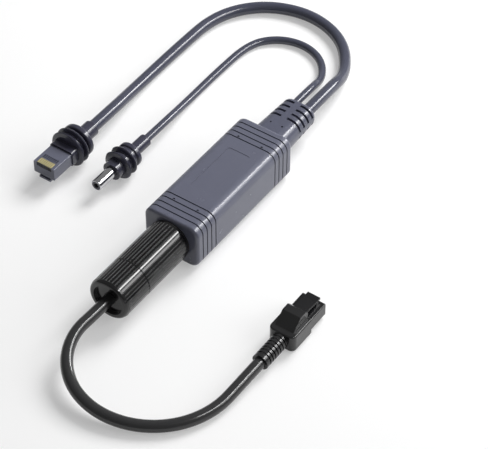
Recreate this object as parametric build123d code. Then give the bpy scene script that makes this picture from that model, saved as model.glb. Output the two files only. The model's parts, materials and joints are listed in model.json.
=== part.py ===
from build123d import *
import os
from math import cos, hypot, radians, sin, tan

os.makedirs("parts", exist_ok=True)

# Inline splitter for power over a network cable. Millimetres, +Z up, the floor is z = 0.
# +X runs along the body from the sealed inlet coupling to the two pigtails.

# Network connectors of the standard size
plug_width = 11.68
plug_height = 6.5
plug_length = 21.5
plug_edge = 0.5
blade_count = 8
blade_pitch = 1.02
blade_width = 0.5
blade_length = 3.1
blade_depth = 2.0
blade_from_nose = 0.35
blade_proud = -0.05
blade_room = 0.18
slot_gap = 0.5
slot_length = 2.2
slot_width = 0.6
slot_depth = 0.9
latch_width = 6.2
latch_root = 3.0
latch_web_back = 1.2
latch_thickness = 1.1
latch_length = 13.5
latch_drop = 0.9
latch_drop_held = 0.05
latch_gap = 1.15
latch_embed = 0.3
plug_half_diagonal = hypot(plug_width, plug_height) / 2

# Sealed inlet coupling, built outwards from the bore that the plug passes through
nipple_clearance = 0.42
nipple_wall = 0.9
thread_height = 0.6
thread_pitch = 1.5
thread_depth = 0.4
thread_start = 0.6
thread_flank = 0.3
thread_crest = 0.4
thread_embed = 0.2
thread_clearance = 0.1
nipple_reach = 14.0
coupling_wall = 1.4
coupling_groove = 0.3
coupling_grooves = 40
groove_turn = 8.5
gasket_thickness = 0.8
gasket_inset = 0.2
flange_thickness = 1.1
flange_inset = 0.4
lock_nut_wall = 1.1
lock_nut_thickness = 2.4
lock_nut_notch = 0.5
nut_clearance = 0.1
seam_from_face = 28.4
seam_gap = 0.5
sleeve_step = 0.2
pocket_wall = 1.0
seal_length = 7.5
seal_recess = 0.5
claw_length = 3.5
claw_clearance = 0.1
claw_slots = 6
claw_slot_width = 1.4
claw_slot_turn = 30
claw_plate = 1.2
claw_room = 0.3
claw_front_radius = 5.6
bowl_radius = 7.1
bowl_depth = 1.7
bowl_web = 2.9
bowl_flare = 0.3
bowl_hole_clearance = 0.15
gland_rim = 1.8
gland_rim_round = 1.5
coupling_seal_section = 0.8
seal_side_gap = 0.1
nipple_bore = plug_half_diagonal + nipple_clearance
nipple_root_radius = nipple_bore + nipple_wall
nipple_thread = nipple_root_radius + thread_height
coupling_radius = nipple_thread + thread_clearance + coupling_wall
flange_radius = coupling_radius - flange_inset
gasket_radius = flange_radius - gasket_inset
lock_nut_radius = nipple_root_radius + lock_nut_wall
sleeve_bore = nipple_bore - sleeve_step
seal_pocket_radius = nipple_thread - pocket_wall
pocket_length = seal_length + seal_recess
gland_length = seam_from_face + seam_gap + seal_length + claw_length + bowl_web + bowl_depth

# Inlet jack and the electronics, in a row behind it
jack_side_wall = 1.8
jack_floor = 0.65
jack_length = 16.0
jack_cavity_depth = 13.5
jack_side_clearance = 0.15
jack_wire_thickness = 0.4
jack_wire_length = 11.0
jack_stop = 0.5
latch_slot_clearance = 0.4
latch_slot_height = 2.4
board_thickness = 1.4
board_side_gap = 0.75
board_front_gap = 0.5
board_end_margin = 0.5
magnetics_gap = 1.5
magnetics_length = 9.5
magnetics_width = 13.0
magnetics_height = 6.2
magnetics_bevel = 0.5
chip_offset = 0.5
chip_length = 5.0
chip_width = 3.6
chip_height = 1.2
chip_lead_reach = 0.4
chip_lead_height = 0.3
rectifier_offset = 7.0
rectifier_pitch = 5.2
rectifier_length = 4.4
rectifier_width = 4.0
rectifier_height = 2.2
side_part_gap = 1.2
row_gap = 1.0
transformer_gap = 1.3
transformer_length = 11.5
transformer_width = 12.0
transformer_base = 3.2
transformer_height = 11.0
transformer_shoulder = 2.5
winding_radius = 5.2
winding_height = 6.6
capacitor_radius = 3.9
capacitor_height = 11.5
capacitor_gap = 0.6
capacitor_between = 2.6
capacitor_round = 0.5
header_gap = 2.6
header_width = 15.0
header_length = 6.0
header_margin = 0.5
wire_space = 12.0
jack_width = plug_width + 2 * (jack_side_clearance + jack_side_wall)
jack_height = plug_height + 2 * (latch_slot_height + jack_floor)
latch_slot_width = latch_width + 2 * latch_slot_clearance

# Body: a moulded tube with two end caps, as long, wide and high as what is in it needs
coupling_margin = 1.2
body_corner = 4.8
shell_wall = 2.0
end_wall = 2.5
nose_round = 1.5
groove_first = 3.8
groove_pitch = 3.13
groove_count = 4
groove_width = 0.6
groove_depth = 0.45
spigot_wall = 1.2
spigot_reach = 4.0
spigot_root = 3.0
spigot_clearance = 0.1
pin_mark_radius = 0.55
pin_mark_depth = 0.4
pin_mark_spacing = 12.5
pin_mark_step = 0.95
label_front_margin = 8.3
label_back_margin = 7.1
label_width = 11.2
label_depth = 0.15
label_corner = 1.0
rib_thickness = 1.2
rib_inset = 0.4
rib_end_gap = 0.95
rib_embed = 0.2
upper_rib_overlap = 0.5
upper_rib_clearance = 0.1
upper_rib_height = 1.2
jack_back = end_wall + jack_length
magnetics_x = jack_back + magnetics_gap
core_x = magnetics_x + magnetics_length + transformer_gap
capacitor_x = core_x + transformer_length + capacitor_gap + capacitor_radius
header_back = capacitor_x + capacitor_radius + header_gap + header_length
body_length = header_back + wire_space
body_height = 2 * (coupling_radius + coupling_margin)
board_width = 2 * side_part_gap + magnetics_width + row_gap + rectifier_width
body_width = board_width + 2 * (board_side_gap + spigot_wall + spigot_clearance + shell_wall)

# Outlet strain relief that both pigtails leave through
relief_length = 28.2
relief_end_height = 11.4
relief_taper_width = 2.4
relief_taper_height = 1.7
relief_corner_share = 0.46
relief_end_round = 1.5
relief_neck_inset = 1.8
relief_neck_height = 9.6
relief_neck_corner = 3.5
relief_flange_grow = 2.4
relief_flange_thickness = 2.0
relief_slots = 4
relief_slot_first = 14.1
relief_slot_pitch = 3.58
relief_slot_width = 1.3
relief_slot_depth = 1.7
relief_data_side = 2.65
relief_power_side = 1.85
relief_between = 2.7
relief_spine = 3.2
relief_side_web = 2.4
relief_mark_from_body = 8.6
relief_mark_spacing = 6.2
relief_mark_radius = 0.5
cable_tail_inside = 9.0

# Cables
data_cable_diameter = 5.8
power_cable_diameter = 3.8
lead_diameter = 5.4
data_wire_radius = 0.65
data_wire_offset = 0.95
power_wire_radius = 0.6
power_wire_offset = 0.85
lead_start_depth = 2.5
relief_cables_width = data_cable_diameter + relief_between + power_cable_diameter
relief_end_width = relief_data_side + relief_cables_width + relief_power_side
relief_width = relief_end_width + relief_taper_width
relief_height = relief_end_height + relief_taper_height
relief_neck_width = relief_width - 2 * relief_neck_inset
data_exit_y = relief_data_side + data_cable_diameter / 2 - relief_end_width / 2
power_exit_y = relief_end_width / 2 - relief_power_side - power_cable_diameter / 2

# Boot with two sealing lips on the data plug, distances from the plug's nose
data_boot_front = 12.5
data_collar_side = 0.61
data_collar_rise = 0.95
data_collar_corner = 1.8
data_core_wall = 0.32
data_lip_reach = 2.1
data_lip_first = 17.1
data_lip_second = 20.6
lip_thickness = 0.9
lip_root = 1.7
lip_bevel = 0.3
data_waist = 1.4
data_ring_from_nose = 23.1
data_ring_length = 2.8
data_ring_reach = 1.2
ring_round = 0.9
data_tail_end = 34.5
data_tail_wall = 1.0
latch_room_gap = 0.3
latch_room_end = 0.8
tail_round = 0.4
data_collar_width = plug_width + 2 * data_collar_side
data_collar_height = plug_height + 2 * data_collar_rise
data_core_radius = plug_half_diagonal + data_core_wall
data_lip_radius = data_core_radius + data_lip_reach
data_waist_radius = data_core_radius - data_waist
data_ring_radius = data_core_radius + data_ring_reach
data_tail_radius = data_cable_diameter / 2 + data_tail_wall

# Barrel plug on the power pigtail, distances from the barrel's tip
barrel_diameter = 5.5
barrel_length = 11.2
barrel_wall = 0.5
barrel_root = 3.0
undercut_length = 0.4
undercut_depth = 0.2
pin_hole_diameter = 2.1
pin_contact_wall = 0.25
pin_hole_depth = 9.0
contact_recess = 0.6
tip_chamfer = 0.3
power_collar_wall = 1.85
power_collar_flat = 0.7
power_collar_reach = 2.0
power_flat_gap = 1.5
power_core_wall = 0.8
power_lip_reach = 1.9
power_lip_first = 16.2
power_lip_second = 20.4
power_ring_from_tip = 23.4
power_ring_length = 2.8
power_ring_reach = 0.7
power_tail_end = 36.5
power_tail_wall = 1.2
power_collar_radius = barrel_diameter / 2 + power_collar_wall
power_core_radius = power_collar_radius + power_core_wall
power_lip_radius = power_core_radius + power_lip_reach
power_ring_radius = power_core_radius + power_ring_reach
power_tail_radius = power_cable_diameter / 2 + power_tail_wall

# Booted plug at the far end of the black lead, distances from its nose
net_boot_front = 11.5
net_boot_length = 13.5
net_boot_side = 0.61
net_boot_rise = 1.15
net_boot_round = 0.8
net_boot_rear_round = 2.5
hood_inset = 1.95
hood_wall = 2.45
hood_front_bevel = 1.6
hood_flat = 3.8
hood_slope_length = 6.3
hood_cavity_side = 0.4
hood_cavity_gap = 0.2
hood_cavity_depth = 7.5
hood_cut = 0.1
net_relief_length = 14.7
net_relief_wall = 1.1
net_relief_core_wall = 0.25
net_relief_rings = 7
net_relief_ring = 1.15
net_relief_end_ring = 2.0
net_relief_spine = 1.6
net_spine_inset = 0.2
net_boot_width = plug_width + 2 * net_boot_side
net_boot_height = plug_height + 2 * net_boot_rise
hood_width = net_boot_width - 2 * hood_inset
hood_cavity_width = latch_width + 2 * hood_cavity_side
hood_cavity_height = latch_gap + latch_thickness + latch_drop + hood_cavity_gap
hood_top = plug_height / 2 + hood_cavity_height + hood_wall
net_relief_radius = lead_diameter / 2 + net_relief_wall
net_relief_core = lead_diameter / 2 + net_relief_core_wall

# Where the loose ends lie, from the body's front face
data_nose_x = 3.1
data_line_y = 77.4
data_plug_y = 72.6
power_tip_x = 10.1
power_line_y = 52.5
power_plug_y = 48.9
net_nose_x = 8.8
net_plug_y = -67.8
net_line_y = -66.9

# Loops of the three free cords, seen from above, from the body's front face
loop_headings = [0, 36, 72, 108, 144, 180]
data_loop_x = 129.1
data_loop_radius = 37.75
data_exit_run = 20.6
data_line_start = 111.0
data_line_end = 80.0
data_plug_run = 14.0
power_loop_x = 126.2
power_loop_radius = 21.4
power_exit_run = 15.6
power_line_start = 108.0
power_line_end = 84.0
power_plug_run = 14.0
line_sway = 0.5
lead_loop_x = -51.9
lead_loop_radius = 36.2
lead_headings = [0, 25.5, 51, 76.5, 102.5, 128.5, 154.5, 180]
lead_exit_run = 10.0
lead_heights = [7.6, 5.4, 3.2, 1.2]
lead_lean_x = -0.81
lead_lean_y = -0.567
lead_plug_run = 13.5

# Derived places
total_length = gland_length + body_length + relief_length
front_x = gland_length - total_length / 2
back_x = front_x + body_length
relief_end_x = back_x + relief_length
axis_z = body_height / 2
cap_seam = groove_first + groove_pitch * (groove_count - 1)
data_axis_z = data_lip_radius
power_axis_z = power_lip_radius
net_axis_z = net_boot_height / 2


def rod(x0, x1, radius, y=0.0, z=axis_z):
    """Round bar along X."""
    return Pos(x0, y, z) * extrude(Plane.YZ * Circle(radius), x1 - x0)


def slab(x0, x1, y0, y1, z0, z1):
    """Box between two corners."""
    return Pos((x0 + x1) / 2, (y0 + y1) / 2, (z0 + z1) / 2) * Box(x1 - x0, y1 - y0, z1 - z0)


def bar(x0, x1, width, height, corner, y=0.0, z=axis_z):
    """Bar along X with a rounded rectangular section."""
    return Pos(x0, y, z) * extrude(Plane.YZ * RectangleRounded(width, height, corner), x1 - x0)


def turned(points):
    """Solid of revolution about the X axis from (x, radius) points."""
    return revolve(Plane.XZ * make_face(Polyline(*points, close=True)), Axis.X)


def edges_at(shape, x):
    """Edges of a shape that lie in the plane at x."""
    return shape.edges().filter_by_position(Axis.X, x - 0.01, x + 0.01)


def save(name, shape):
    """Writes one sub-part."""
    shape.label = name
    export_step(shape, "parts/" + name + ".step")
    print(name, "volume", round(shape.volume, 1), "solids", len(shape.solids()))


def shell_bar(x0, x1, inset):
    """Bar with the body's section, inset all round."""
    return bar(x0, x1, body_width - 2 * inset, body_height - 2 * inset, body_corner - inset)


# The body is worked in its own frame, x = 0 at the front face, and moved at the end
to_front = Pos(front_x, 0, 0)
board_top = axis_z - jack_height / 2
board_bottom = board_top - board_thickness
inner_half_width = body_width / 2 - shell_wall
rib_y_centre = board_width / 2 - rib_inset

# Middle tube of the body
sleeve_outer = shell_bar(cap_seam, body_length - cap_seam, 0)
body_sleeve = sleeve_outer - shell_bar(cap_seam, body_length - cap_seam, shell_wall)
for edge_x, way in ((cap_seam, 1), (body_length - cap_seam, -1)):
    far_x = edge_x + way * groove_width / 2
    low_x = min(edge_x, far_x)
    high_x = max(edge_x, far_x)
    body_sleeve -= shell_bar(low_x, high_x, 0) - shell_bar(low_x, high_x, groove_depth)
rib_front = cap_seam + spigot_reach + rib_end_gap
rib_back = body_length - rib_front
for side in (-1, 1):
    rib_y = side * rib_y_centre
    body_sleeve += slab(rib_front, rib_back, rib_y - rib_thickness / 2, rib_y + rib_thickness / 2,
                        shell_wall - rib_embed, board_bottom)
    inner_y = side * (board_width / 2 - upper_rib_overlap)
    outer_y = side * (inner_half_width + rib_embed)
    rib_low = board_top + upper_rib_clearance
    body_sleeve += slab(rib_front, rib_back, min(inner_y, outer_y), max(inner_y, outer_y),
                        rib_low, rib_low + upper_rib_height)
label_length = body_length - 2 * cap_seam - label_front_margin - label_back_margin
label_middle = cap_seam + label_front_margin + label_length / 2
label_tool = Pos(label_middle, 0, body_height - label_depth) * extrude(
    RectangleRounded(label_length, label_width, label_corner), 2 * label_depth)
body_sleeve -= label_tool
save("body_sleeve", to_front * body_sleeve)


def end_cap():
    """Cap with its end wall at x = 0 and a spigot that slides into the middle tube."""
    cap = shell_bar(0, cap_seam, 0)
    cap = fillet(edges_at(cap, 0), nose_round)
    cap -= shell_bar(end_wall, cap_seam, shell_wall)
    for index in range(groove_count - 1):
        middle = groove_first + index * groove_pitch
        low = middle - groove_width / 2
        high = middle + groove_width / 2
        cap -= shell_bar(low, high, -1) - shell_bar(low, high, groove_depth)
    low = cap_seam - groove_width / 2
    cap -= shell_bar(low, cap_seam, -1) - shell_bar(low, cap_seam, groove_depth)
    root = shell_bar(cap_seam - spigot_root, cap_seam, shell_wall)
    reach = shell_bar(cap_seam, cap_seam + spigot_reach, shell_wall + spigot_clearance)
    hollow_inset = shell_wall + spigot_clearance + spigot_wall
    spigot = root + reach - shell_bar(cap_seam - spigot_root, cap_seam + spigot_reach, hollow_inset)
    return cap + spigot


def pin_marks(x, top_z, spacing, radius):
    """Two small round marks side by side."""
    marks = Pos(x, spacing / 2, top_z - pin_mark_depth) * Cylinder(
        radius, 2 * pin_mark_depth, align=(Align.CENTER, Align.CENTER, Align.MIN))
    return marks + Pos(0, -spacing, 0) * marks


# Front cap with the round port that the coupling is fixed in
input_end_cap = end_cap() - rod(-1, end_wall + 1, nipple_root_radius)
front_mark_x = groove_first + 2 * groove_pitch + pin_mark_step
input_end_cap -= pin_marks(front_mark_x, body_height, pin_mark_spacing, pin_mark_radius)
save("input_end_cap", to_front * input_end_cap)

# Back cap, turned end for end, with the strain relief's opening
output_end_cap = Pos(body_length, 0, 0) * Rot(0, 0, 180) * end_cap()
output_end_cap -= bar(body_length - end_wall - 1, body_length + 1,
                      relief_neck_width, relief_neck_height, relief_neck_corner)
back_mark_x = body_length - cap_seam + pin_mark_step
output_end_cap -= pin_marks(back_mark_x, body_height, pin_mark_spacing, pin_mark_radius)
save("output_end_cap", to_front * output_end_cap)

# Coupling: gasket, threaded nipple with a flange outside and a lock nut inside
gasket_x = -gasket_thickness
flange_x = gasket_x - flange_thickness
gasket = rod(gasket_x, 0, gasket_radius) - rod(gasket_x - 1, 1, nipple_root_radius)
save("nipple_gasket", to_front * gasket)

nipple_end = -nipple_reach
nipple = rod(flange_x, gasket_x, flange_radius) + rod(nipple_end, end_wall + lock_nut_thickness,
                                                      nipple_root_radius)
thread_length = -nipple_end + flange_x
thread_turns = int(thread_length / thread_pitch)
for turn in range(thread_turns):
    x0 = nipple_end + thread_start + turn * thread_pitch
    x1 = x0 + 2 * thread_flank + thread_crest
    foot = nipple_root_radius - thread_embed
    ring = turned([(x0, foot), (x0, nipple_thread - thread_depth),
                   (x0 + thread_flank, nipple_thread), (x1 - thread_flank, nipple_thread),
                   (x1, nipple_thread - thread_depth), (x1, foot)])
    nipple += Pos(0, 0, axis_z) * ring
nipple -= rod(nipple_end - 1, end_wall + lock_nut_thickness + 1, nipple_bore)
save("coupling_nipple", to_front * nipple)

lock_nut = rod(end_wall, end_wall + lock_nut_thickness, lock_nut_radius)
lock_nut -= rod(end_wall - 1, end_wall + lock_nut_thickness + 1, nipple_root_radius)
for step in range(6):
    angle = radians(60 * step)
    lock_nut -= Pos(0, lock_nut_radius * cos(angle), axis_z + lock_nut_radius * sin(angle)) * rod(
        end_wall - 1, end_wall + lock_nut_thickness + 1, lock_nut_notch, 0, 0)
save("nipple_lock_nut", to_front * lock_nut)


def grooved(x0, x1):
    """Bar along X with fine round grooves along it."""
    section = Circle(coupling_radius)
    for index in range(coupling_grooves):
        angle = radians(groove_turn + 360 * index / coupling_grooves)
        section -= Pos(coupling_radius * cos(angle), coupling_radius * sin(angle)) * Circle(coupling_groove)
    return Pos(x0, 0, axis_z) * extrude(Plane.YZ * section, x1 - x0)


# Long coupling sleeve: screws on the nipple and carries the gland's own thread
sleeve_front = flange_x
seam_x = -seam_from_face
pocket_end = seam_x - seam_gap - pocket_length
sleeve = grooved(seam_x, sleeve_front)
sleeve += rod(pocket_end, seam_x, nipple_thread)
bore_end = nipple_end - thread_clearance - coupling_seal_section
sleeve -= rod(bore_end, sleeve_front + 1, nipple_thread + thread_clearance)
sleeve -= rod(pocket_end - 1, bore_end + 1, sleeve_bore)
seal_back = pocket_end + seal_recess
seal_front = seal_back + seal_length
sleeve -= rod(pocket_end - 1, seal_front, seal_pocket_radius)
save("coupling_sleeve", to_front * sleeve)

# Flat seal ring squeezed between the nipple's end and the sleeve's step
coupling_seal = rod(bore_end, nipple_end, nipple_thread - seal_side_gap)
coupling_seal -= rod(bore_end - 1, nipple_end + 1, nipple_bore)
save("coupling_seal", to_front * coupling_seal)

# Rubber bush round the cable
lead_radius = lead_diameter / 2
gland_seal = rod(seal_back, seal_front, seal_pocket_radius) - rod(seal_back - 1, seal_front + 1, lead_radius)
save("gland_seal", to_front * gland_seal)

# Slotted claw ring that the cap presses on the bush
claw_end = seal_back - claw_length
claw_shoulder = seal_pocket_radius - claw_clearance
claw_bore = lead_radius + claw_room
claw = turned([(seal_back, 0), (seal_back, claw_shoulder), (pocket_end, claw_shoulder),
               (claw_end, claw_front_radius), (claw_end, 0)])
claw = Pos(0, 0, axis_z) * claw - rod(claw_end - 1, seal_back + 1, claw_bore)
for step in range(claw_slots):
    slot = slab(claw_end - 1, seal_back - claw_plate, 0, seal_pocket_radius + 1,
                -claw_slot_width / 2, claw_slot_width / 2)
    claw -= Pos(0, 0, axis_z) * Rot(claw_slot_turn + 360 * step / claw_slots, 0, 0) * slot
save("gland_claw", to_front * claw)

# Short grooved gland cap with a rounded rim, a shallow bowl in its end and the cable's hole in the floor
cap_front = seam_x - seam_gap
cap_rim_x = -gland_length + gland_rim
gland_cap = grooved(cap_rim_x, cap_front)
rim = rod(-gland_length, cap_rim_x, coupling_radius - coupling_groove / 2)
rim = fillet(edges_at(rim, -gland_length), gland_rim_round)
gland_cap += rim
gland_cap -= rod(claw_end, cap_front + 1, nipple_thread + thread_clearance)
bowl_x = -gland_length + bowl_depth
bowl = turned([(-gland_length - 1, 0), (-gland_length - 1, bowl_radius + bowl_flare),
               (-gland_length, bowl_radius + bowl_flare), (bowl_x, bowl_radius), (bowl_x, 0)])
gland_cap -= Pos(0, 0, axis_z) * bowl + rod(bowl_x - 1, claw_end + 1, lead_radius + bowl_hole_clearance)
save("gland_cap", to_front * gland_cap)


def network_plug(drop):
    """Standard network plug: nose at x = 0, body back along +X, axis on the X axis, latch below."""
    half_height = plug_height / 2
    housing = bar(0, plug_length, plug_width, plug_height, plug_edge, 0, 0)
    for index in range(blade_count):
        y = (index - (blade_count - 1) / 2) * blade_pitch
        room = blade_width / 2 + blade_room
        housing -= slab(-1, blade_from_nose + blade_length, y - room, y + room,
                        half_height - blade_depth, half_height + 1)
        slot_start = blade_from_nose + blade_length + slot_gap
        housing -= slab(slot_start, slot_start + slot_length, y - slot_width / 2, y + slot_width / 2,
                        half_height - slot_depth, half_height + 1)
    tongue_top = -half_height - latch_gap
    root_z = -half_height + latch_embed
    profile = [(latch_web_back, root_z), (latch_web_back, tongue_top), (0, tongue_top),
               (0, tongue_top - latch_thickness),
               (latch_root, tongue_top - latch_thickness),
               (latch_length, tongue_top - latch_thickness - drop),
               (latch_length, tongue_top - drop),
               (latch_root, tongue_top), (latch_root, root_z)]
    face = Plane.XZ * make_face(Polyline(*profile, close=True))
    return housing + Pos(0, latch_width / 2, 0) * extrude(face, latch_width)


def plug_blades():
    """Eight gold blades, flush with the plug's top."""
    half_height = plug_height / 2
    blades = []
    for index in range(blade_count):
        y = (index - (blade_count - 1) / 2) * blade_pitch
        blades.append(slab(blade_from_nose, blade_from_nose + blade_length, y - blade_width / 2,
                           y + blade_width / 2, half_height - blade_depth, half_height + blade_proud))
    return Compound(blades)


# Inlet jack behind the port, with the lead's first plug pushed home in it
jack_front = end_wall
cavity_back = jack_front + jack_cavity_depth
half_plug = plug_height / 2
jack = slab(jack_front, jack_back, -jack_width / 2, jack_width / 2, board_top, board_top + jack_height)
jack -= rod(jack_front - 1, end_wall + lock_nut_thickness + nut_clearance, lock_nut_radius + nut_clearance)
cavity_half = plug_width / 2 + jack_side_clearance
jack -= slab(jack_front - 1, cavity_back, -cavity_half, cavity_half, axis_z - half_plug,
             axis_z + half_plug + jack_wire_thickness)
jack -= slab(jack_front - 1, cavity_back, -latch_slot_width / 2, latch_slot_width / 2,
             axis_z - half_plug - latch_slot_height, axis_z)
save("inlet_jack", to_front * jack)

inner_nose_x = cavity_back - jack_stop
wires = []
for index in range(blade_count):
    y = (index - (blade_count - 1) / 2) * blade_pitch
    wires.append(slab(inner_nose_x - jack_wire_length / 2, cavity_back,
                      y - blade_width / 2, y + blade_width / 2,
                      axis_z + half_plug, axis_z + half_plug + jack_wire_thickness))
save("inlet_jack_contacts", to_front * Compound(wires))

to_inner_plug = Pos(front_x + inner_nose_x, 0, axis_z) * Rot(0, 0, 180)
save("lead_inner_plug", to_inner_plug * network_plug(latch_drop_held))
save("lead_inner_plug_contacts", to_inner_plug * plug_blades())

lead_start_x = -gland_length + lead_start_depth
inner_cable = rod(lead_start_x, inner_nose_x - plug_length, lead_radius)
save("lead_inner_cable", to_front * inner_cable)

# Circuit board and what stands on it
board_front = end_wall + lock_nut_thickness + board_front_gap
board_back = header_back + board_end_margin
board = slab(board_front, board_back, -board_width / 2, board_width / 2, board_bottom, board_top)
save("circuit_board", to_front * board)


def on_board(x0, length, y0, width, height):
    """Block standing on the board."""
    return slab(x0, x0 + length, y0, y0 + width, board_top, board_top + height)


low_edge_y = side_part_gap - board_width / 2
magnetics = on_board(magnetics_x, magnetics_length, low_edge_y, magnetics_width, magnetics_height)
magnetics = chamfer(magnetics.edges().group_by(Axis.Z)[-1], magnetics_bevel)
save("network_transformer", to_front * magnetics)

chip_x = magnetics_x + chip_offset
chip_y = board_width / 2 - side_part_gap - chip_width
chip = on_board(chip_x, chip_length, chip_y, chip_width, chip_height)
chip += on_board(chip_x + chip_lead_reach, chip_length - 2 * chip_lead_reach, chip_y - chip_lead_reach,
                 chip_width + 2 * chip_lead_reach, chip_lead_height)
save("controller_chip", to_front * chip)

rectifier_y = board_width / 2 - side_part_gap - rectifier_width
rectifier = on_board(magnetics_x + rectifier_offset, rectifier_length, rectifier_y,
                     rectifier_width, rectifier_height)
rectifiers = Compound([rectifier, Pos(rectifier_pitch, 0, 0) * rectifier])
save("bridge_rectifiers", to_front * rectifiers)

middle_x = core_x + transformer_shoulder
middle_length = transformer_length - 2 * transformer_shoulder
transformer = on_board(core_x, transformer_length, low_edge_y, transformer_width, transformer_base)
transformer += on_board(middle_x, middle_length, low_edge_y, transformer_width, transformer_height)
save("power_transformer_core", to_front * transformer)
winding_y = low_edge_y + transformer_width / 2
winding = Pos(core_x + transformer_length / 2, winding_y, board_top + transformer_base) * Cylinder(
    winding_radius, winding_height, align=(Align.CENTER, Align.CENTER, Align.MIN))
winding -= on_board(middle_x, middle_length, low_edge_y, transformer_width, transformer_height)
save("power_transformer_winding", to_front * winding)

capacitor_spacing = 2 * capacitor_radius + capacitor_between
capacitor = Pos(capacitor_x, -capacitor_spacing / 2, board_top) * Cylinder(
    capacitor_radius, capacitor_height, align=(Align.CENTER, Align.CENTER, Align.MIN))
capacitor = fillet(capacitor.edges().group_by(Axis.Z)[-1], capacitor_round)
capacitors = Compound([capacitor, Pos(0, capacitor_spacing, 0) * capacitor])
save("output_capacitors", to_front * capacitors)

header_top = axis_z + data_wire_offset + data_wire_radius + header_margin
header = slab(header_back - header_length, header_back, -header_width / 2, header_width / 2,
              board_top, header_top)
save("output_header", to_front * header)


def relief_bar(x0, x1, inset):
    """Tapering bar of the strain relief between two distances from the body, inset all round."""
    faces = []
    for x in (x0, x1):
        share = x / relief_length
        width = relief_width + (relief_end_width - relief_width) * share - 2 * inset
        height = relief_height + (relief_end_height - relief_height) * share - 2 * inset
        section = Plane.YZ * RectangleRounded(width, height, relief_corner_share * height)
        faces.append(Pos(x, 0, axis_z) * section)
    return loft(faces)


# Strain relief moulded round both pigtails
relief = relief_bar(0, relief_length, 0)
relief = fillet(edges_at(relief, relief_length), relief_end_round)
for index in range(relief_slots):
    x0 = relief_slot_first + index * relief_slot_pitch
    x1 = x0 + relief_slot_width
    band = relief_bar(x0, x1, -1) - relief_bar(x0, x1, relief_slot_depth)
    band -= slab(x0 - 1, x1 + 1, -relief_spine / 2, relief_spine / 2, 0, body_height)
    band -= slab(x0 - 1, x1 + 1, -relief_width, relief_width,
                 axis_z - relief_side_web / 2, axis_z + relief_side_web / 2)
    relief -= band
mark_share = relief_mark_from_body / relief_length
relief_top = axis_z + (relief_height + (relief_end_height - relief_height) * mark_share) / 2
relief -= pin_marks(relief_mark_from_body, relief_top, relief_mark_spacing, relief_mark_radius)
relief += bar(-end_wall, 0, relief_neck_width, relief_neck_height, relief_neck_corner)
flange_width = relief_neck_width + relief_flange_grow
flange_height = relief_neck_height + relief_flange_grow
relief += bar(-end_wall - relief_flange_thickness, -end_wall, flange_width, flange_height, relief_neck_corner)
data_radius = data_cable_diameter / 2
power_radius = power_cable_diameter / 2
bore_start = -end_wall - relief_flange_thickness - 1
relief -= rod(bore_start, relief_length + 1, data_radius, data_exit_y)
relief -= rod(bore_start, relief_length + 1, power_radius, power_exit_y)
save("output_strain_relief", Pos(back_x, 0, 0) * relief)

# Cable ends inside the relief and their wires to the header
tail_start = body_length - cable_tail_inside
tail_end = body_length + relief_length
save("data_cable_tail", to_front * rod(tail_start, tail_end, data_radius, data_exit_y))
save("power_cable_tail", to_front * rod(tail_start, tail_end, power_radius, power_exit_y))
pairs = []
for dy in (-data_wire_offset, data_wire_offset):
    for dz in (-data_wire_offset, data_wire_offset):
        pairs.append(rod(header_back, tail_start, data_wire_radius, data_exit_y + dy, axis_z + dz))
save("data_wires", to_front * Compound(pairs))
pair = []
for dy in (-power_wire_offset, power_wire_offset):
    pair.append(rod(header_back, tail_start, power_wire_radius, power_exit_y + dy, axis_z))
save("power_wires", to_front * Compound(pair))


def lip(middle, radius, core):
    """Sealing lip: a disc that thins towards its rim."""
    rim = radius - lip_bevel
    return turned([(middle - lip_root / 2, 0), (middle - lip_root / 2, core),
                   (middle - lip_thickness / 2, rim),
                   (middle, radius), (middle + lip_thickness / 2, rim),
                   (middle + lip_root / 2, core), (middle + lip_root / 2, 0)])


def round_ring(x0, length, radius):
    """Thick ring with rounded rims."""
    ring = rod(x0, x0 + length, radius, 0, 0)
    return fillet(ring.edges().filter_by(GeomType.CIRCLE), ring_round)


# Plug of the data pigtail
to_data_plug = Pos(front_x + data_nose_x, data_plug_y, data_axis_z)
save("data_plug_housing", to_data_plug * network_plug(latch_drop))
save("data_plug_contacts", to_data_plug * plug_blades())
data_boot = bar(data_boot_front, data_lip_first, data_collar_width, data_collar_height,
                data_collar_corner, 0, 0)
data_boot += rod(data_lip_first - lip_root / 2, data_lip_second, data_core_radius, 0, 0)
data_boot += rod(data_lip_second, data_ring_from_nose, data_waist_radius, 0, 0)
data_boot += lip(data_lip_first, data_lip_radius, data_core_radius)
data_boot += lip(data_lip_second, data_lip_radius, data_core_radius)
data_boot += round_ring(data_ring_from_nose, data_ring_length, data_ring_radius)
data_tail = rod(data_ring_from_nose, data_tail_end, data_tail_radius, 0, 0)
data_tail = fillet(edges_at(data_tail, data_tail_end), tail_round)
data_boot += data_tail
data_pocket = bar(0, plug_length, plug_width, plug_height, plug_edge, 0, 0)
latch_room_half = latch_width / 2 + latch_room_gap
latch_room = slab(0, latch_length + latch_room_end, -latch_room_half, latch_room_half,
                  -half_plug - latch_gap - latch_thickness - latch_drop - latch_room_gap, -half_plug)
data_boot -= data_pocket
data_boot -= latch_room
save("data_plug_boot", to_data_plug * data_boot)

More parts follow.
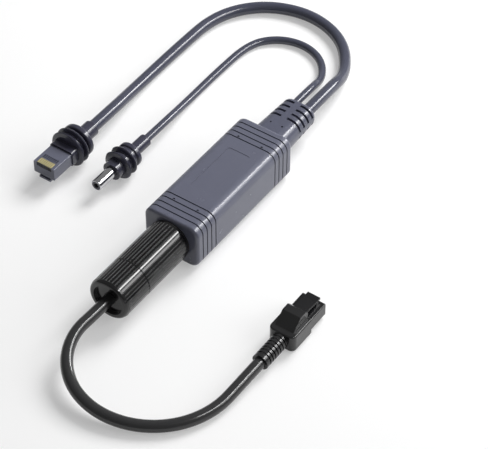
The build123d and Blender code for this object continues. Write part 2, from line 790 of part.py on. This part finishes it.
# Barrel plug of the power pigtail
barrel_radius = barrel_diameter / 2
insulator_radius = barrel_radius - barrel_wall
pin_radius = pin_hole_diameter / 2
contact_radius = pin_radius + pin_contact_wall
metal_end = barrel_length + barrel_root
to_power_plug = Pos(front_x + power_tip_x, power_plug_y, power_axis_z)
undercut_radius = barrel_radius - undercut_depth
undercut_start = barrel_length - undercut_length
barrel = rod(0, undercut_start, barrel_radius, 0, 0) + rod(undercut_start, metal_end, undercut_radius, 0, 0)
barrel -= rod(-1, metal_end + 1, insulator_radius, 0, 0)
tip_edges = barrel.edges().filter_by(GeomType.CIRCLE).group_by(Axis.X)[0]
barrel = chamfer(tip_edges.sort_by(SortBy.RADIUS)[-1], tip_chamfer)
save("power_plug_barrel", to_power_plug * barrel)
insulator = rod(0, metal_end, insulator_radius, 0, 0) - rod(-1, metal_end + 1, contact_radius, 0, 0)
save("power_plug_insulator", to_power_plug * insulator)
contact = rod(contact_recess, metal_end, contact_radius, 0, 0)
contact -= rod(contact_recess - 1, pin_hole_depth, pin_radius, 0, 0)
save("power_plug_contact", to_power_plug * contact)
collar_end = power_lip_first + power_collar_reach
collar = rod(barrel_length, collar_end, power_collar_radius, 0, 0)
collar -= slab(barrel_length - 1, power_lip_first - power_flat_gap, -power_collar_radius, power_collar_radius,
               power_collar_radius - power_collar_flat, power_collar_radius + 1)
collar -= rod(barrel_length - 1, metal_end, undercut_radius, 0, 0)
save("power_plug_collar", to_power_plug * collar)
power_boot = rod(power_lip_first - lip_root / 2, power_ring_from_tip, power_core_radius, 0, 0)
power_boot += lip(power_lip_first, power_lip_radius, power_core_radius)
power_boot += lip(power_lip_second, power_lip_radius, power_core_radius)
power_boot += round_ring(power_ring_from_tip, power_ring_length, power_ring_radius)
power_tail = rod(power_ring_from_tip, power_tail_end, power_tail_radius, 0, 0)
power_tail = fillet(edges_at(power_tail, power_tail_end), tail_round)
power_boot += power_tail
power_boot -= rod(0, collar_end, power_collar_radius, 0, 0)
save("power_plug_boot", to_power_plug * power_boot)

# Booted plug at the far end of the lead, latch upwards, nose towards +X
to_net_plug = Pos(front_x + net_nose_x, net_plug_y, net_axis_z) * Rot(0, 0, 180)
to_net_upside = to_net_plug * Rot(180, 0, 0)
save("network_plug_housing", to_net_upside * network_plug(latch_drop))
save("network_plug_contacts", to_net_upside * plug_blades())
net_boot_end = net_boot_front + net_boot_length
net_boot = slab(net_boot_front, net_boot_end, -net_boot_width / 2, net_boot_width / 2,
                -net_boot_height / 2, net_boot_height / 2)
rear_edges = net_boot.edges().filter_by(Axis.Z).group_by(Axis.X)[-1]
net_boot = fillet(rear_edges, net_boot_rear_round)
net_boot = fillet(net_boot.edges().filter_by(Axis.X), net_boot_round)
hood_low = net_boot_height / 2 - net_boot_round
hood_corner = net_boot_front + hood_front_bevel + hood_flat
hood_profile = [(net_boot_front, hood_low), (net_boot_front, hood_top - hood_front_bevel),
                (net_boot_front + hood_front_bevel, hood_top), (hood_corner, hood_top),
                (hood_corner + hood_slope_length, hood_low)]
hood_face = Plane.XZ * make_face(Polyline(*hood_profile, close=True))
hood = Pos(0, hood_width / 2, 0) * extrude(hood_face, hood_width)
net_boot += hood
net_boot -= slab(net_boot_front - 1, net_boot_front + hood_cavity_depth, -hood_cavity_width / 2,
                 hood_cavity_width / 2, half_plug - hood_cut, half_plug + hood_cavity_height)
net_boot -= bar(0, plug_length, plug_width, plug_height, plug_edge, 0, 0)
net_relief_end = net_boot_end + net_relief_length
net_boot += rod(net_boot_end - 1, net_relief_end, net_relief_core, 0, 0)
net_boot += slab(net_boot_end - 0.5, net_relief_end - 0.5, -net_relief_spine / 2, net_relief_spine / 2,
                 -net_relief_radius + net_spine_inset, net_relief_radius - net_spine_inset)
net_boot += rod(net_relief_end - net_relief_end_ring, net_relief_end, net_relief_radius, 0, 0)
ring_room = net_relief_length - net_relief_end_ring
ring_step = ring_room / net_relief_rings
for index in range(net_relief_rings):
    ring_x = net_boot_end + index * ring_step
    net_boot += rod(ring_x, ring_x + net_relief_ring, net_relief_radius, 0, 0)
save("network_plug_boot", to_net_plug * net_boot)


def loop_corners(centre_x, centre_y, radius, headings, way):
    """Corners of a run that goes round a circle, from its headings in degrees; way is +1 or -1 along X."""
    corners = []
    for before, after in zip(headings[:-1], headings[1:]):
        middle = radians((before + after) / 2)
        reach = radius / cos(radians((after - before) / 2))
        corners.append((centre_x + way * reach * sin(middle), centre_y - way * reach * cos(middle)))
    return corners


def free_cord(name, points, diameter):
    """Round tube along straight runs joined by tangent arcs; prints its length and arc radii."""
    path_points = [Vector(*point) for point in points]
    radii = []
    for index in range(1, len(path_points) - 1):
        before = path_points[index] - path_points[index - 1]
        after = path_points[index + 1] - path_points[index]
        half_turn = radians(before.get_angle(after)) / 2
        radii.append(0.45 * min(before.length, after.length) / tan(half_turn))
    path = FilletPolyline(*path_points, radius=radii)
    first = path_points[1] - path_points[0]
    start = Plane(origin=path_points[0], z_dir=first)
    tube = sweep(start * Circle(diameter / 2), path=path)
    print(name, "length", round(path.length, 1), "radii", [round(r, 1) for r in radii],
          "volume share", round(tube.volume / (path.length * (start * Circle(diameter / 2)).area), 4))
    save(name, tube)
    return path_points


# Data pigtail: out of the relief, down to the floor, round its loop and back to its plug
data_floor = data_radius
data_loop_y = data_line_y - data_loop_radius
data_corners = loop_corners(front_x + data_loop_x, data_loop_y, data_loop_radius, loop_headings, 1)
data_boot_x = front_x + data_nose_x + data_tail_end
data_route = [
    (relief_end_x, data_exit_y, axis_z),
    (relief_end_x + data_exit_run, data_exit_y, axis_z),
]
data_route += [(x, y, data_floor) for x, y in data_corners]
data_route += [
    (front_x + data_line_start, data_line_y + line_sway, data_floor),
    (front_x + data_line_end, data_line_y, data_floor),
    (data_boot_x + data_plug_run, data_plug_y, data_axis_z),
    (data_boot_x, data_plug_y, data_axis_z),
]
free_cord("data_cable", data_route, data_cable_diameter)

# Power pigtail: the thinner one, round a smaller loop inside the first
power_floor = power_radius
power_loop_y = power_line_y - power_loop_radius
power_corners = loop_corners(front_x + power_loop_x, power_loop_y, power_loop_radius, loop_headings, 1)
power_boot_x = front_x + power_tip_x + power_tail_end
power_route = [
    (relief_end_x, power_exit_y, axis_z),
    (relief_end_x + power_exit_run, power_exit_y, axis_z),
]
power_route += [(x, y, power_floor) for x, y in power_corners]
power_route += [
    (front_x + power_line_start, power_line_y + line_sway, power_floor),
    (front_x + power_line_end, power_line_y, power_floor),
    (power_boot_x + power_plug_run, power_plug_y, power_axis_z),
    (power_boot_x, power_plug_y, power_axis_z),
]
free_cord("power_cable", power_route, power_cable_diameter)

# Black lead: out of the gland, sinking to the floor as it goes round to its far plug;
# while it is off the floor, its loop leans outwards with its height
lead_floor = lead_radius
lead_loop_y = net_line_y + lead_loop_radius
lead_corners = loop_corners(front_x + lead_loop_x, lead_loop_y, lead_loop_radius, lead_headings, -1)
lead_route = [
    (front_x + lead_start_x, 0.0, axis_z),
    (front_x + lead_start_x - lead_exit_run, 0.0, axis_z),
]
for (x, y), height in zip(lead_corners, lead_heights):
    lead_route.append((x + lead_lean_x * height, y + lead_lean_y * height, lead_floor + height))
lead_route += [(x, y, lead_floor) for x, y in lead_corners[len(lead_heights):]]
net_relief_x = front_x + net_nose_x - net_relief_end
lead_route += [
    (net_relief_x - lead_plug_run, net_plug_y, net_axis_z),
    (net_relief_x, net_plug_y, net_axis_z),
]
free_cord("network_cable", lead_route, lead_diameter)
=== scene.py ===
import json
import bpy
from mathutils import Matrix, Vector


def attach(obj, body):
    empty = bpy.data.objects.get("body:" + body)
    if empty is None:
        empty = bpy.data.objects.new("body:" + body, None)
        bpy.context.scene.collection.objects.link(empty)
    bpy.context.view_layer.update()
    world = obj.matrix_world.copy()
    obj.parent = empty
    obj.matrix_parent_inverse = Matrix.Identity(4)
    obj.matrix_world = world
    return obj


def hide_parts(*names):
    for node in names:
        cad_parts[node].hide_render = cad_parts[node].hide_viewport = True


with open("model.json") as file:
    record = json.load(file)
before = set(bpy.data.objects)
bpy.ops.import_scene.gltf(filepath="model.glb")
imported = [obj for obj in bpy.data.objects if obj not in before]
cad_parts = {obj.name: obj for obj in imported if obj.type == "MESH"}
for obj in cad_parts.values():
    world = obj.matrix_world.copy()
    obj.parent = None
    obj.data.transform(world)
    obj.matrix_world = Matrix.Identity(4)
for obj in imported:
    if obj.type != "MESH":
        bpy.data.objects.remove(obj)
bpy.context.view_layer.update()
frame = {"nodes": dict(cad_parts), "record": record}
nodes = frame["nodes"]

# An inline splitter with two grey pigtails and a black lead. Metres, +Z up, the floor is z = 0.

# Camera, at the photograph's angle
EYE = Vector((-0.50057, -0.36917, 0.62499))
FORWARD = Vector((0.5764, 0.4033, -0.7107)).normalized()
RIGHT = Vector((0.5733, -0.8193, 0.0)).normalized()
UP = RIGHT.cross(FORWARD).normalized()
SENSOR_MM = 36
FOCAL_MM = 147.54
NEAREST_SEEN = 0.01
FURTHEST_SEEN = 50
lens = bpy.data.cameras.new("camera")
lens.sensor_width = SENSOR_MM
lens.sensor_fit = "HORIZONTAL"
lens.lens = FOCAL_MM
lens.clip_start = NEAREST_SEEN
lens.clip_end = FURTHEST_SEEN
camera = bpy.data.objects.new("camera", lens)
facing = Matrix((RIGHT, UP, -FORWARD)).transposed().to_4x4()
camera.matrix_world = Matrix.Translation(EYE) @ facing
bpy.context.collection.objects.link(camera)
bpy.context.scene.camera = camera

# Routes of the three free cords
DATA_ROUTE = [
    (0.07200, -0.00285, 0.01130),
    (0.09260, -0.00285, 0.01130),
    (0.11387, 0.00190, 0.00290),
    (0.13371, 0.01632, 0.00290),
    (0.14129, 0.03965, 0.00290),
    (0.13371, 0.06298, 0.00290),
    (0.11387, 0.07740, 0.00290),
    (0.08350, 0.07790, 0.00290),
    (0.05250, 0.07740, 0.00290),
    (0.02410, 0.07260, 0.00910),
    (0.01010, 0.07260, 0.00910),
]
POWER_ROUTE = [
    (0.07200, 0.00465, 0.01130),
    (0.08760, 0.00465, 0.01130),
    (0.10565, 0.00970, 0.00190),
    (0.11690, 0.01787, 0.00190),
    (0.12120, 0.03110, 0.00190),
    (0.11690, 0.04433, 0.00190),
    (0.10565, 0.05250, 0.00190),
    (0.08050, 0.05300, 0.00190),
    (0.05650, 0.05250, 0.00190),
    (0.03310, 0.04890, 0.00730),
    (0.01910, 0.04890, 0.00730),
]
LEAD_ROUTE = [
    (-0.06950, 0.00000, 0.01130),
    (-0.07950, 0.00000, 0.01130),
    (-0.09375, 0.00119, 0.01030),
    (-0.10675, -0.00461, 0.00810),
    (-0.11528, -0.01610, 0.00590),
    (-0.11752, -0.03106, 0.00390),
    (-0.11293, -0.04669, 0.00270),
    (-0.10253, -0.05978, 0.00270),
    (-0.08759, -0.06690, 0.00270),
    (-0.07190, -0.06780, 0.00440),
    (-0.05840, -0.06780, 0.00440),
]
DATA_DIAMETER = 0.0058
POWER_DIAMETER = 0.0038
LEAD_DIAMETER = 0.0054
CORD_ORDER = 3
CORD_STEPS = 24
CORD_ROUNDNESS = 8

# Wear and painted highlight: an edge is lightened where its normal, rounded over EDGE_RADIUS, turns
# away from the face's
EDGE_RADIUS = 0.00025
EDGE_TURNED = 0.80
EDGE_FLAT = 0.995
EDGE_SAMPLES = 4
WORN_AND_HIGHLIT_LIGHTER = 1.9

# Painted shade in grooves: how open a spot is to the air, from closed to fully open, and the painted
# shade and roughness of a closed one
AIR_CLOSED = 0.35
AIR_OPEN = 0.75
AIR_SAMPLES = 6
PAINTED_GROOVE_SHADE = 0.12
GROOVE_ROUGH = 0.9

# The band of the noise that a pattern spreads over its whole range
NOISE_LOW = 0.3
NOISE_HIGH = 0.7

# Plastic: scales are repeats per metre, and shades are shares of the plastic's own colour
MOTTLE_SCALE = 90
STREAK_SHADE = 0.8
STREAK_MOST = 0.35
SMUDGE_SCALE = 140
SMUDGE_SMOOTHER = 0.03
SMUDGE_ROUGHER = 0.04
GRAIN_HEIGHT = 0.00002
COAT_ROUGH = 0.15

# Metal: dull patches, fine lines along the object's X, and contacts that are bright on their flats,
# with painted shade on their sides and ends
PATCH_SCALE = 600
PATCH_SHADE = 0.86
LINE_STRETCH = (40, 4000, 4000)
LINE_STRENGTH = 0.06
LINE_HEIGHT = 0.00001
LINE_SMOOTHER = 0.7
LINE_ROUGHER = 1.5
BLADE_SIDE_PAINTED_SHADE = 0.05
BLADE_SIDE = 0.4
BLADE_FLAT = 0.7

# The Mix node's sockets share their names, so they are taken by number
MIX_FACTOR = 0
MIX_NUMBERS = (2, 3)
MIX_COLOURS = (6, 7)
MIX_NUMBER_OUT = 0
MIX_COLOUR_OUT = 2

# Floor and studio: the floor lies just under the part, and the lamps stand around the origin
FLOOR_REACH = 6.0
FLOOR_DROP = 0.0002
FLOOR_GREY = 0.60
FLOOR_GLOW = 0.36
WORLD_LIGHT = 0.18
WORLD_IN_GLOSS = 0.28
WORLD_TO_CAMERA = 1.0
LAMP_DISTANCE = 1.0


def srgb(red, green, blue):
    """Linear colour of an 8 bit screen colour."""
    linear = []
    for level in (red / 255, green / 255, blue / 255):
        linear.append(level / 12.92 if level <= 0.04045 else ((level + 0.055) / 1.055) ** 2.4)
    return (*linear, 1.0)


def shade(colour, factor):
    """A darker or lighter colour of the same hue."""
    return (colour[0] * factor, colour[1] * factor, colour[2] * factor, 1.0)


class Nodes:
    """Adds and joins nodes in one node tree."""

    def __init__(self, tree):
        self.tree = tree

    def add(self, kind, inputs=None, **settings):
        node = self.tree.nodes.new("ShaderNode" + kind)
        for key, value in settings.items():
            setattr(node, key, value)
        for key, value in (inputs or {}).items():
            node.inputs[key].default_value = value
        return node

    def link(self, source, socket):
        self.tree.links.new(source, socket)

    def join(self, kind, *sources, **settings):
        """The first output of a new node that takes the sources in its first sockets."""
        node = self.add(kind, **settings)
        for socket, source in zip(node.inputs, sources):
            self.link(source, socket)
        return node.outputs[0]

    def rays(self, *kinds):
        """1 for a ray of any of these kinds, 0 for every other ray."""
        path = self.add("LightPath")
        found = path.outputs[kinds[0]]
        for kind in kinds[1:]:
            found = self.join("Math", found, path.outputs[kind], operation="MAXIMUM")
        return found


class Look(Nodes):
    """A material on one Principled shader, with patterns in the object's own space."""

    def __init__(self, name):
        self.material = bpy.data.materials.new(name)
        self.material.use_nodes = True
        super().__init__(self.material.node_tree)
        self.shader = self.tree.nodes["Principled BSDF"]
        self.place = self.add("TexCoord")

    def noise(self, scale, detail, rough, stretch=None):
        """Soft noise, drawn out into lines where a stretch for each axis is given."""
        noise = self.add("TexNoise", {"Scale": scale, "Detail": detail, "Roughness": rough})
        point = self.place.outputs["Object"]
        if stretch:
            mapping = self.add("Mapping", {"Scale": stretch})
            self.link(point, mapping.inputs["Vector"])
            point = mapping.outputs["Vector"]
        self.link(point, noise.inputs["Vector"])
        return noise.outputs["Fac"]

    def remap(self, value, start, end, low=NOISE_LOW, high=NOISE_HIGH):
        """The start for a value up to low, the end from high on, evenly in between."""
        limits = {"From Min": low, "From Max": high, "To Min": start, "To Max": end}
        node = self.add("MapRange", limits)
        self.link(value, node.inputs["Value"])
        return node.outputs["Result"]

    def mix_colours(self, factor, first, second):
        """The first colour where the factor is 0, the second where it is 1."""
        node = self.add("Mix", data_type="RGBA")
        self.link(factor, node.inputs[MIX_FACTOR])
        for index, colour in zip(MIX_COLOURS, (first, second)):
            if isinstance(colour, tuple):
                node.inputs[index].default_value = colour
            else:
                self.link(colour, node.inputs[index])
        return node.outputs[MIX_COLOUR_OUT]

    def mix_values(self, factor, number, value):
        """The plain number where the factor is 0, the value where it is 1."""
        node = self.add("Mix", {MIX_NUMBERS[0]: number}, data_type="FLOAT")
        self.link(factor, node.inputs[MIX_FACTOR])
        self.link(value, node.inputs[MIX_NUMBERS[1]])
        return node.outputs[MIX_NUMBER_OUT]

    def worn_and_highlit_edges(self, edge_wear_and_highlight):
        """As much as the wear and painted highlight on sharp edges, 0 on flat faces."""
        bevel = self.add("Bevel", {"Radius": EDGE_RADIUS}, samples=EDGE_SAMPLES)
        surface = self.add("NewGeometry")
        dot = self.add("VectorMath", operation="DOT_PRODUCT")
        self.link(bevel.outputs["Normal"], dot.inputs[0])
        self.link(surface.outputs["Normal"], dot.inputs[1])
        return self.remap(dot.outputs["Value"], edge_wear_and_highlight, 0.0, EDGE_TURNED, EDGE_FLAT)

    def open_to_air(self, reach):
        """1 on open surfaces, towards 0 down in a groove or a gap; it sets where painted shade goes.
        """
        occlusion = self.add("AmbientOcclusion", {"Distance": reach}, samples=AIR_SAMPLES)
        return self.remap(occlusion.outputs["AO"], 0.0, 1.0, AIR_CLOSED, AIR_OPEN)

    def flats_free_of_painted_shade(self):
        """1 on faces that look along the object's Z, up or down, 0 on its sides and ends, where
        painted shade goes.
        """
        split = self.add("SeparateXYZ")
        self.link(self.place.outputs["Normal"], split.inputs[0])
        along_z = self.join("Math", split.outputs["Z"], operation="ABSOLUTE")
        return self.remap(along_z, 0.0, 1.0, BLADE_SIDE, BLADE_FLAT)

    def set_bump(self, height, strength, distance):
        node = self.add("Bump", {"Strength": strength, "Distance": distance})
        self.link(height, node.inputs["Height"])
        self.link(node.outputs["Normal"], self.shader.inputs["Normal"])


def plastic(name, colour, rough, mottle=0.06, grain=0.12, grain_size=0.00018, edge_wear_and_highlight=0.12, coat=0.0,
            reach=0.0007, streak=None):
    """Moulded plastic: faint mottling, fine grain, edges lightened by a little wear and a painted
    highlight, painted shade in grooves.
    """
    look = Look(name)
    cloud = look.remap(look.noise(MOTTLE_SCALE, detail=4.0, rough=0.6), 0.0, 1.0)
    body = look.mix_colours(cloud, shade(colour, 1 - mottle), shade(colour, 1 + mottle))
    if streak:
        lines = look.noise(1.0, detail=3.0, rough=0.6, stretch=streak)
        body = look.mix_colours(look.remap(lines, 0.0, STREAK_MOST), body, shade(colour, STREAK_SHADE))
    # Edges are lightened, partly as wear and partly as a painted highlight on rims
    if edge_wear_and_highlight:
        body = look.mix_colours(look.worn_and_highlit_edges(edge_wear_and_highlight), body, shade(colour, WORN_AND_HIGHLIT_LIGHTER))
    # Painted shade: the colour darkens down in grooves and gaps, and the roughness rises there
    clear = look.open_to_air(reach)
    body = look.mix_colours(clear, shade(colour, PAINTED_GROOVE_SHADE), body)
    look.link(body, look.shader.inputs["Base Color"])
    grains = look.noise(1 / grain_size, detail=2.0, rough=0.5)
    smudge = look.noise(SMUDGE_SCALE, detail=5.0, rough=0.65)
    gloss = look.remap(smudge, rough - SMUDGE_SMOOTHER, rough + SMUDGE_ROUGHER)
    look.link(look.mix_values(clear, GROOVE_ROUGH, gloss), look.shader.inputs["Roughness"])
    look.set_bump(grains, grain, GRAIN_HEIGHT)
    look.shader.inputs["Coat Weight"].default_value = coat
    look.shader.inputs["Coat Roughness"].default_value = COAT_ROUGH
    return look.material


def metal(name, colour, rough, metallic=1.0, painted_blade_side_shade=False):
    """Plated metal: fine lines and a few dull patches."""
    look = Look(name)
    look.shader.inputs["Metallic"].default_value = metallic
    patches = look.remap(look.noise(PATCH_SCALE, detail=4.0, rough=0.6), 0.0, 1.0)
    body = look.mix_colours(patches, shade(colour, PATCH_SHADE), colour)
    # Painted shade: the sides and ends of the contacts are darkened, and their flat tops keep the
    # colour
    if painted_blade_side_shade:
        body = look.mix_colours(look.flats_free_of_painted_shade(), shade(colour, BLADE_SIDE_PAINTED_SHADE), body)
    look.link(body, look.shader.inputs["Base Color"])
    lines = look.noise(1.0, detail=2.0, rough=0.5, stretch=LINE_STRETCH)
    gloss = look.remap(lines, rough * LINE_SMOOTHER, rough * LINE_ROUGHER)
    look.link(gloss, look.shader.inputs["Roughness"])
    look.set_bump(lines, LINE_STRENGTH, LINE_HEIGHT)
    return look.material


# Fine grains that several plastics share
MOULDED = {"grain": 0.03, "grain_size": 0.0003}
EXTRUDED = {"grain": 0.01, "grain_size": 0.0004, "edge_wear_and_highlight": 0.0}

# Outside plastics, then those of the parts inside
# The strong edge lightening of dark_seal, black_boot and plug_dark is mostly a painted highlight on
# their rims
PLASTICS = {
    "grey_shell": dict(colour=srgb(97, 99, 114), rough=0.24, mottle=0.03, edge_wear_and_highlight=0.08, **MOULDED),
    "grey_soft": dict(colour=srgb(84, 86, 101), rough=0.20, mottle=0.03, edge_wear_and_highlight=0.06, **MOULDED),
    "grey_jacket": dict(colour=srgb(68, 70, 84), rough=0.15, mottle=0.04, **EXTRUDED),
    "dark_seal": dict(colour=srgb(60, 60, 74), rough=0.18, mottle=0.05, edge_wear_and_highlight=0.8, **MOULDED),
    "black_shell": dict(colour=srgb(20, 20, 21), rough=0.12, mottle=0.08, edge_wear_and_highlight=0.16, grain=0.02,
                        grain_size=0.0003),
    "black_jacket": dict(colour=srgb(50, 50, 51), rough=0.17, mottle=0.08, **EXTRUDED),
    "black_boot": dict(colour=srgb(36, 36, 37), rough=0.20, mottle=0.08, edge_wear_and_highlight=0.35, reach=0.0004,
                       **MOULDED),
    "seal_rubber": dict(colour=srgb(18, 18, 18), rough=0.6, mottle=0.1, edge_wear_and_highlight=0.05, grain=0.2,
                        grain_size=0.0002),
    "plug_grey": dict(colour=srgb(98, 100, 115), rough=0.18, mottle=0.04, edge_wear_and_highlight=0.25, **MOULDED),
    "plug_black": dict(colour=srgb(22, 22, 24), rough=0.22, mottle=0.08, edge_wear_and_highlight=0.10, **MOULDED),
    "plug_dark": dict(colour=srgb(58, 58, 72), rough=0.20, mottle=0.08, edge_wear_and_highlight=0.5, **MOULDED),
    "component_black": dict(colour=srgb(30, 30, 32), rough=0.5),
    "plug_clear": dict(colour=srgb(196, 202, 206), rough=0.2, coat=0.4),
    "board": dict(colour=srgb(34, 96, 56), rough=0.4, streak=(300, 4000, 4000)),
    "ferrite": dict(colour=srgb(64, 62, 62), rough=0.6, grain=0.3),
    "capacitor_can": dict(colour=srgb(60, 66, 96), rough=0.35),
    "header_white": dict(colour=srgb(226, 224, 214), rough=0.45),
    "wire": dict(colour=srgb(150, 92, 62), rough=0.4),
}
METALS = {
    "gold": dict(colour=srgb(255, 240, 170), rough=0.42, metallic=0.45, painted_blade_side_shade=True),
    "nickel": dict(colour=srgb(206, 206, 209), rough=0.10),
    "copper": dict(colour=srgb(190, 112, 70), rough=0.25),
}
materials = {name: plastic(name, **look) for name, look in PLASTICS.items()}
materials.update({name: metal(name, **look) for name, look in METALS.items()})

slot_of = {row["node"]: row["material_slot"] for row in frame["record"]["subparts"]}
for name, obj in nodes.items():
    material = materials[slot_of[name]]
    if obj.material_slots:
        for slot in obj.material_slots:
            slot.material = material
    else:
        obj.data.materials.append(material)


def cord(name, stands_for, slot, route, diameter):
    """A round cord along one smooth NURBS line, in place of its CAD node."""
    data = bpy.data.curves.new(name, "CURVE")
    data.dimensions = "3D"
    spline = data.splines.new("NURBS")
    spline.points.add(len(route) - 1)
    for point, place in zip(spline.points, route):
        point.co = (*place, 1.0)
    spline.order_u = CORD_ORDER
    spline.use_endpoint_u = True
    spline.resolution_u = CORD_STEPS
    data.bevel_depth = diameter / 2
    data.bevel_resolution = CORD_ROUNDNESS
    data.use_fill_caps = True
    obj = bpy.data.objects.new(name, data)
    bpy.context.collection.objects.link(obj)
    data.materials.append(materials[slot])
    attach(obj, "root")
    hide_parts(stands_for)


cord("data_cord", "data_cable", "grey_jacket", DATA_ROUTE, DATA_DIAMETER)
cord("power_cord", "power_cable", "grey_jacket", POWER_ROUTE, POWER_DIAMETER)
cord("black_lead", "network_cable", "black_jacket", LEAD_ROUTE, LEAD_DIAMETER)

# Floor: it takes the object's shadow, and a glow makes it white to the camera, in gloss and in glass
corners = [(-FLOOR_REACH, -FLOOR_REACH, 0), (FLOOR_REACH, -FLOOR_REACH, 0),
           (FLOOR_REACH, FLOOR_REACH, 0), (-FLOOR_REACH, FLOOR_REACH, 0)]
floor_mesh = bpy.data.meshes.new("floor")
floor_mesh.from_pydata(corners, [], [(0, 1, 2, 3)])
floor = bpy.data.objects.new("floor", floor_mesh)
bpy.context.collection.objects.link(floor)
floor.location.z = -FLOOR_DROP
floor_material = bpy.data.materials.new("floor")
floor_material.use_nodes = True
ground = Nodes(floor_material.node_tree)
ground.tree.nodes.clear()
floor_end = ground.add("OutputMaterial")
diffuse = ground.add("BsdfDiffuse", {"Color": (FLOOR_GREY, FLOOR_GREY, FLOOR_GREY, 1)})
glow = ground.add("Emission")
gain = ground.add("Math", {1: FLOOR_GLOW}, operation="MULTIPLY")
ground.link(ground.rays("Is Camera Ray", "Is Glossy Ray", "Is Transmission Ray"), gain.inputs[0])
ground.link(gain.outputs[0], glow.inputs["Strength"])
both_lights = ground.join("AddShader", diffuse.outputs[0], glow.outputs[0])
ground.link(both_lights, floor_end.inputs["Surface"])
floor_mesh.materials.append(floor_material)

# Studio world: dim on the object, brighter in gloss and glass, white to the camera
world = bpy.data.worlds.new("studio")
bpy.context.scene.world = world
world.use_nodes = True
studio = Nodes(world.node_tree)
studio.tree.nodes.clear()
world_end = studio.add("OutputWorld")


def sky(strength):
    """White light from all round."""
    return studio.add("Background", {"Color": (1, 1, 1, 1), "Strength": strength}).outputs[0]


in_gloss = studio.rays("Is Glossy Ray", "Is Transmission Ray")
on_object = studio.join("MixShader", in_gloss, sky(WORLD_LIGHT), sky(WORLD_IN_GLOSS))
to_camera = studio.rays("Is Camera Ray")
whole = studio.join("MixShader", to_camera, on_object, sky(WORLD_TO_CAMERA))
studio.link(whole, world_end.inputs["Surface"])


def lamp(name, direction, width, height, watts, in_shading=True, in_gloss=True):
    """Rectangular lamp that looks at the object from a direction, its width as near as it can to X."""
    data = bpy.data.lights.new(name, "AREA")
    data.shape = "RECTANGLE"
    data.size = width
    data.size_y = height
    data.energy = watts
    obj = bpy.data.objects.new(name, data)
    outwards = Vector(direction).normalized()
    across = (Vector((1, 0, 0)) - outwards * outwards.x).normalized()
    obj.location = outwards * LAMP_DISTANCE
    obj.rotation_euler = Matrix((across, outwards.cross(across), outwards)).transposed().to_euler()
    obj.visible_diffuse = in_shading
    obj.visible_glossy = in_gloss
    bpy.context.collection.objects.link(obj)


# Two lamps light the object, and two long cards only show in its gloss
lamp("key", (0.72, -0.10, 0.69), width=0.50, height=0.50, watts=11.0, in_gloss=False)
lamp("fill", (0.45, -0.75, 0.48), width=0.80, height=0.60, watts=5.0, in_gloss=False)
lamp("strip", (0.576, -0.455, 0.678), width=1.50, height=0.12, watts=13.5, in_shading=False)
lamp("side_card", (0.576, -0.62, 0.54), width=1.20, height=0.22, watts=5.4, in_shading=False)

bpy.context.scene.view_settings.view_transform = "Standard"
